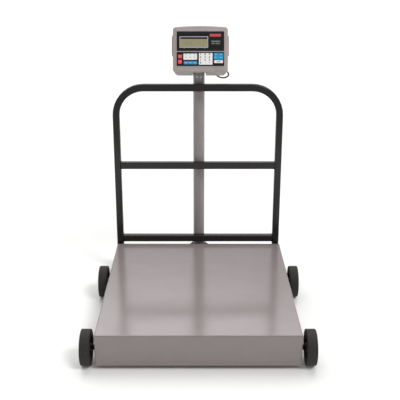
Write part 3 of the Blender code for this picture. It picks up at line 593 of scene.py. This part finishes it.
badge = print_and_shadow_bar(bmesh.new(), 0.0609, 0.0603, 46.3 * MM, 11.0 * MM, PANEL_FACE, 1.2 * MM)
piece("blank_badge", badge, badge_red, "indicator")
marks = bmesh.new()
MARKS = (  # left, right, middle height, thickness
    (0.0440, 0.0808, 0.0352, 0.0056),
    (0.0450, 0.0595, 0.0262, 0.0040),
    (0.0620, 0.0800, 0.0262, 0.0040),
)
for left, right, z, high in MARKS:
    print_and_shadow_bar(marks, (left + right) / 2, z, right - left, high, PANEL_FACE, 1.0 * MM)
piece("model_marks", marks, dim_ink, "indicator")
lines = bmesh.new()
LINE = 0.6 * MM
for z in (0.0716, -0.0014):
    print_and_shadow_bar(lines, 0, z, 184 * MM, LINE, PANEL_FACE)
for x in (-0.0920, 0.0920):
    print_and_shadow_bar(lines, x, 0.0351, LINE, 72.4 * MM, PANEL_FACE)
piece("panel_border_lines", lines, line_ink, "indicator")
print("display finished")

# %% [markdown]
# ## The moulded face
# A border 2.2 mm proud frames the two panels. Its rounded edges catch a light line above and throw a
# dark one below. Screws close the shell from behind, under a blank data plate.

# %% The moulded face
BORDER = ((0.0003, 0.0), (-0.0002, 0.0001), (-0.0018, 0.0022), (-0.0022, 0.0034))  # depth, inset


def face_outline(half_width, low, high, corner, depth, steps=8):
    points = []
    for quarter, (sign_x, sign_z) in enumerate(((1, -1), (1, 1), (-1, 1), (-1, -1))):
        for step in range(steps + 1):
            a = pi / 2 * (quarter - 1 + step / steps)
            middle = high - corner if sign_z > 0 else low + corner
            x = sign_x * (half_width - corner) + corner * cos(a)
            points.append(from_face @ Vector((x, depth, middle + corner * sin(a))))
    return points


BORDER_HALF, BORDER_LOW, BORDER_HIGH, BORDER_CORNER = 0.1022, -0.0712, 0.0868, 0.008
rings = [face_outline(BORDER_HALF - inset, BORDER_LOW + inset, BORDER_HIGH - inset, BORDER_CORNER - inset,
                      depth) for depth, inset in BORDER]
border = piece("face_border", skin(rings), grey_abs, "indicator")
OPENING_HALF = 0.0969
for name, low, high in (("display_opening", -0.0051, 0.0758), ("keypad_opening", -0.0663, -0.0082)):
    opening = skin([face_outline(OPENING_HALF, low, high, 0.003, depth) for depth in (0.002, -0.003)])
    subtract(border, opening, name)
border.data.shade_smooth()
border.data.set_sharp_from_angle(angle=radians(50))

SCREW = ((0, 0.0616), (0.0036, 0.0616), (0.0036, 0.0624), (0.0028, 0.0632), (0.0012, 0.0635), (0, 0.0635))
screws = bmesh.new()
to_back = Matrix.Rotation(pi / 2, 4, "Z")  # a turned profile's axis points out of the back
for x in (-0.088, 0.088):
    for z in (-0.080, 0.074):
        turned(SCREW, from_face @ Matrix.Translation((x, 0, z)) @ to_back, 24, screws)
piece("shell_screws", screws, zinc, "indicator")
plate = [face_outline(0.030 - inset, 0.026 + inset, 0.060 - inset, 0.003, depth)
         for depth, inset in ((0.0618, 0), (0.0622, 0), (0.0624, 0.0003))]
piece("blank_data_plate", skin(plate), silver_trim, "indicator")
print("face finished")

# %% [markdown]
# ## Steelwork
# The crossbars are welded to the posts all round; a concave bead about 2.5 mm wide fills each corner.
# Plastic plugs close the ends of the rear sill, and four bolts hold the column's foot plate.

# %% Steelwork
def square_ring(centre_y, centre_z, x, half, corner, steps=3):
    points = []
    for quarter, (sign_y, sign_z) in enumerate(((1, -1), (1, 1), (-1, 1), (-1, -1))):
        for step in range(steps + 1):
            a = pi / 2 * (quarter - 1 + step / steps)
            points.append(Vector((x, centre_y + sign_y * (half - corner) + corner * cos(a),
                                  centre_z + sign_z * (half - corner) + corner * sin(a))))
    return points


# Points of the bead's profile: along the bar, and off its face.
BEAD = ((-0.0006, 0.0022), (0.0004, 0.0012), (0.0012, 0.0007), (0.0026, 0.0))
beads = bmesh.new()
for name in ("handle_middle_bar", "handle_lower_bar"):
    low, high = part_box(name)
    middle = (low + high) / 2
    half = (high.z - low.z) / 2
    for end, inward in ((low.x, 1), (high.x, -1)):
        skin([square_ring(middle.y, middle.z, end + inward * along, half + off - 0.0002, 0.003 + off)
              for along, off in BEAD], beads)
piece("weld_beads", beads, black_enamel, "base")

low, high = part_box("rear_sill")
middle = (low + high) / 2
PLUG = ((0.0002, 0.0244), (0.0016, 0.0244), (0.0026, 0.0232), (0.0028, 0.0220))  # outward, half size
plugs = bmesh.new()
for end, outward in ((low.x, -1), (high.x, 1)):
    skin([square_ring(middle.y, middle.z, end + outward * along, half, 0.003)
          for along, half in PLUG], plugs)
piece("sill_plugs", plugs, black_nylon, "base")

FOOT_PLATE_TOP = 0.0863
WASHER = ((0, 0), (0.0085, 0), (0.0085, 0.0014), (0, 0.0014))
BOLT_HEAD = ((0, 0.0014), (0.0065, 0.0014), (0.0065, 0.0060), (0.0058, 0.0066), (0, 0.0066))
low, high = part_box("column_foot")
bolts = bmesh.new()
upright = Matrix.Rotation(-pi / 2, 4, "Y")  # a turned profile's axis points up
for x in (low.x + 0.009, high.x - 0.009):
    for y in (low.y + 0.010, high.y - 0.010):
        place = Matrix.Translation((x, y, FOOT_PLATE_TOP)) @ upright
        turned(WASHER, place, 24, bolts)
        turned(BOLT_HEAD, place, 6, bolts)
piece("foot_bolts", bolts, zinc, "base", 20)
print("steelwork finished")

# %% [markdown]
# ## Floor and light
# A white studio: a broad pale floor that runs to the horizon and glows very slightly, as a lit sweep
# does, and greys in front, where the sweep ends. The sky is even, but dim behind the camera, so that
# black parts that face it stay black. One very soft light from above and behind lays the shadow in
# front of the platform, and a weaker one from the front fills the keypad and the skirt.

# %% Floor and light
floor_finish, tree, shader = new_finish("white_studio_floor", "#F4F4F2", 0.9)
shader.inputs["Specular IOR Level"].default_value = 0.0
place = add_node(tree, "TexCoord")
axes = add_node(tree, "SeparateXYZ", {}, Vector=place.outputs["Object"])
near = add_node(tree, "MapRange", {"From Min": -2.2, "From Max": -1.1}, Value=axes.outputs["Y"])
blend = add_node(tree, "ValToRGB", {}, Fac=near.outputs["Result"])
blend.color_ramp.elements[0].color = linear("#A8A8A6")
blend.color_ramp.elements[1].color = linear("#F4F4F2")
tree.links.new(blend.outputs["Color"], shader.inputs["Base Color"])
shader.inputs["Emission Color"].default_value = (1, 1, 1, 1)
shader.inputs["Emission Strength"].default_value = 0.03
FLOOR_SIZE = 60
half = FLOOR_SIZE / 2
floor_mesh = bpy.data.meshes.new("floor")
corners = [(-half, -half, 0), (half, -half, 0), (half, half, 0), (-half, half, 0)]
floor_mesh.from_pydata(corners, [], [(0, 1, 2, 3)])
floor_mesh.materials.append(floor_finish)
floor = bpy.data.objects.new("floor", floor_mesh)
scene.collection.objects.link(floor)

world = bpy.data.worlds.new("studio")
scene.world = world
world.use_nodes = True
tree = world.node_tree
place = add_node(tree, "TexCoord")
axes = add_node(tree, "SeparateXYZ", {}, Vector=place.outputs["Generated"])
DIM = {"From Min": -0.95, "From Max": -0.35, "To Min": 0.38, "To Max": 0.54}
dimming = add_node(tree, "MapRange", DIM, Value=axes.outputs["Y"])
tree.links.new(dimming.outputs["Result"], tree.nodes["Background"].inputs["Strength"])
tree.nodes["Background"].inputs["Color"].default_value = (1, 1, 1, 1)

key_data = bpy.data.lights.new("overhead_softbox", "SUN")
key_data.energy = 1.5
key_data.angle = radians(56)
key = bpy.data.objects.new("overhead_softbox", key_data)
key.rotation_euler = (radians(-36), radians(-4), 0)
scene.collection.objects.link(key)
fill_data = bpy.data.lights.new("front_fill", "SUN")
fill_data.energy = 1.25
fill_data.angle = radians(20)
fill = bpy.data.objects.new("front_fill", fill_data)
fill.rotation_euler = (radians(38), 0, radians(48))
scene.collection.objects.link(fill)
scene.view_settings.view_transform = "Standard"
print("studio ready")
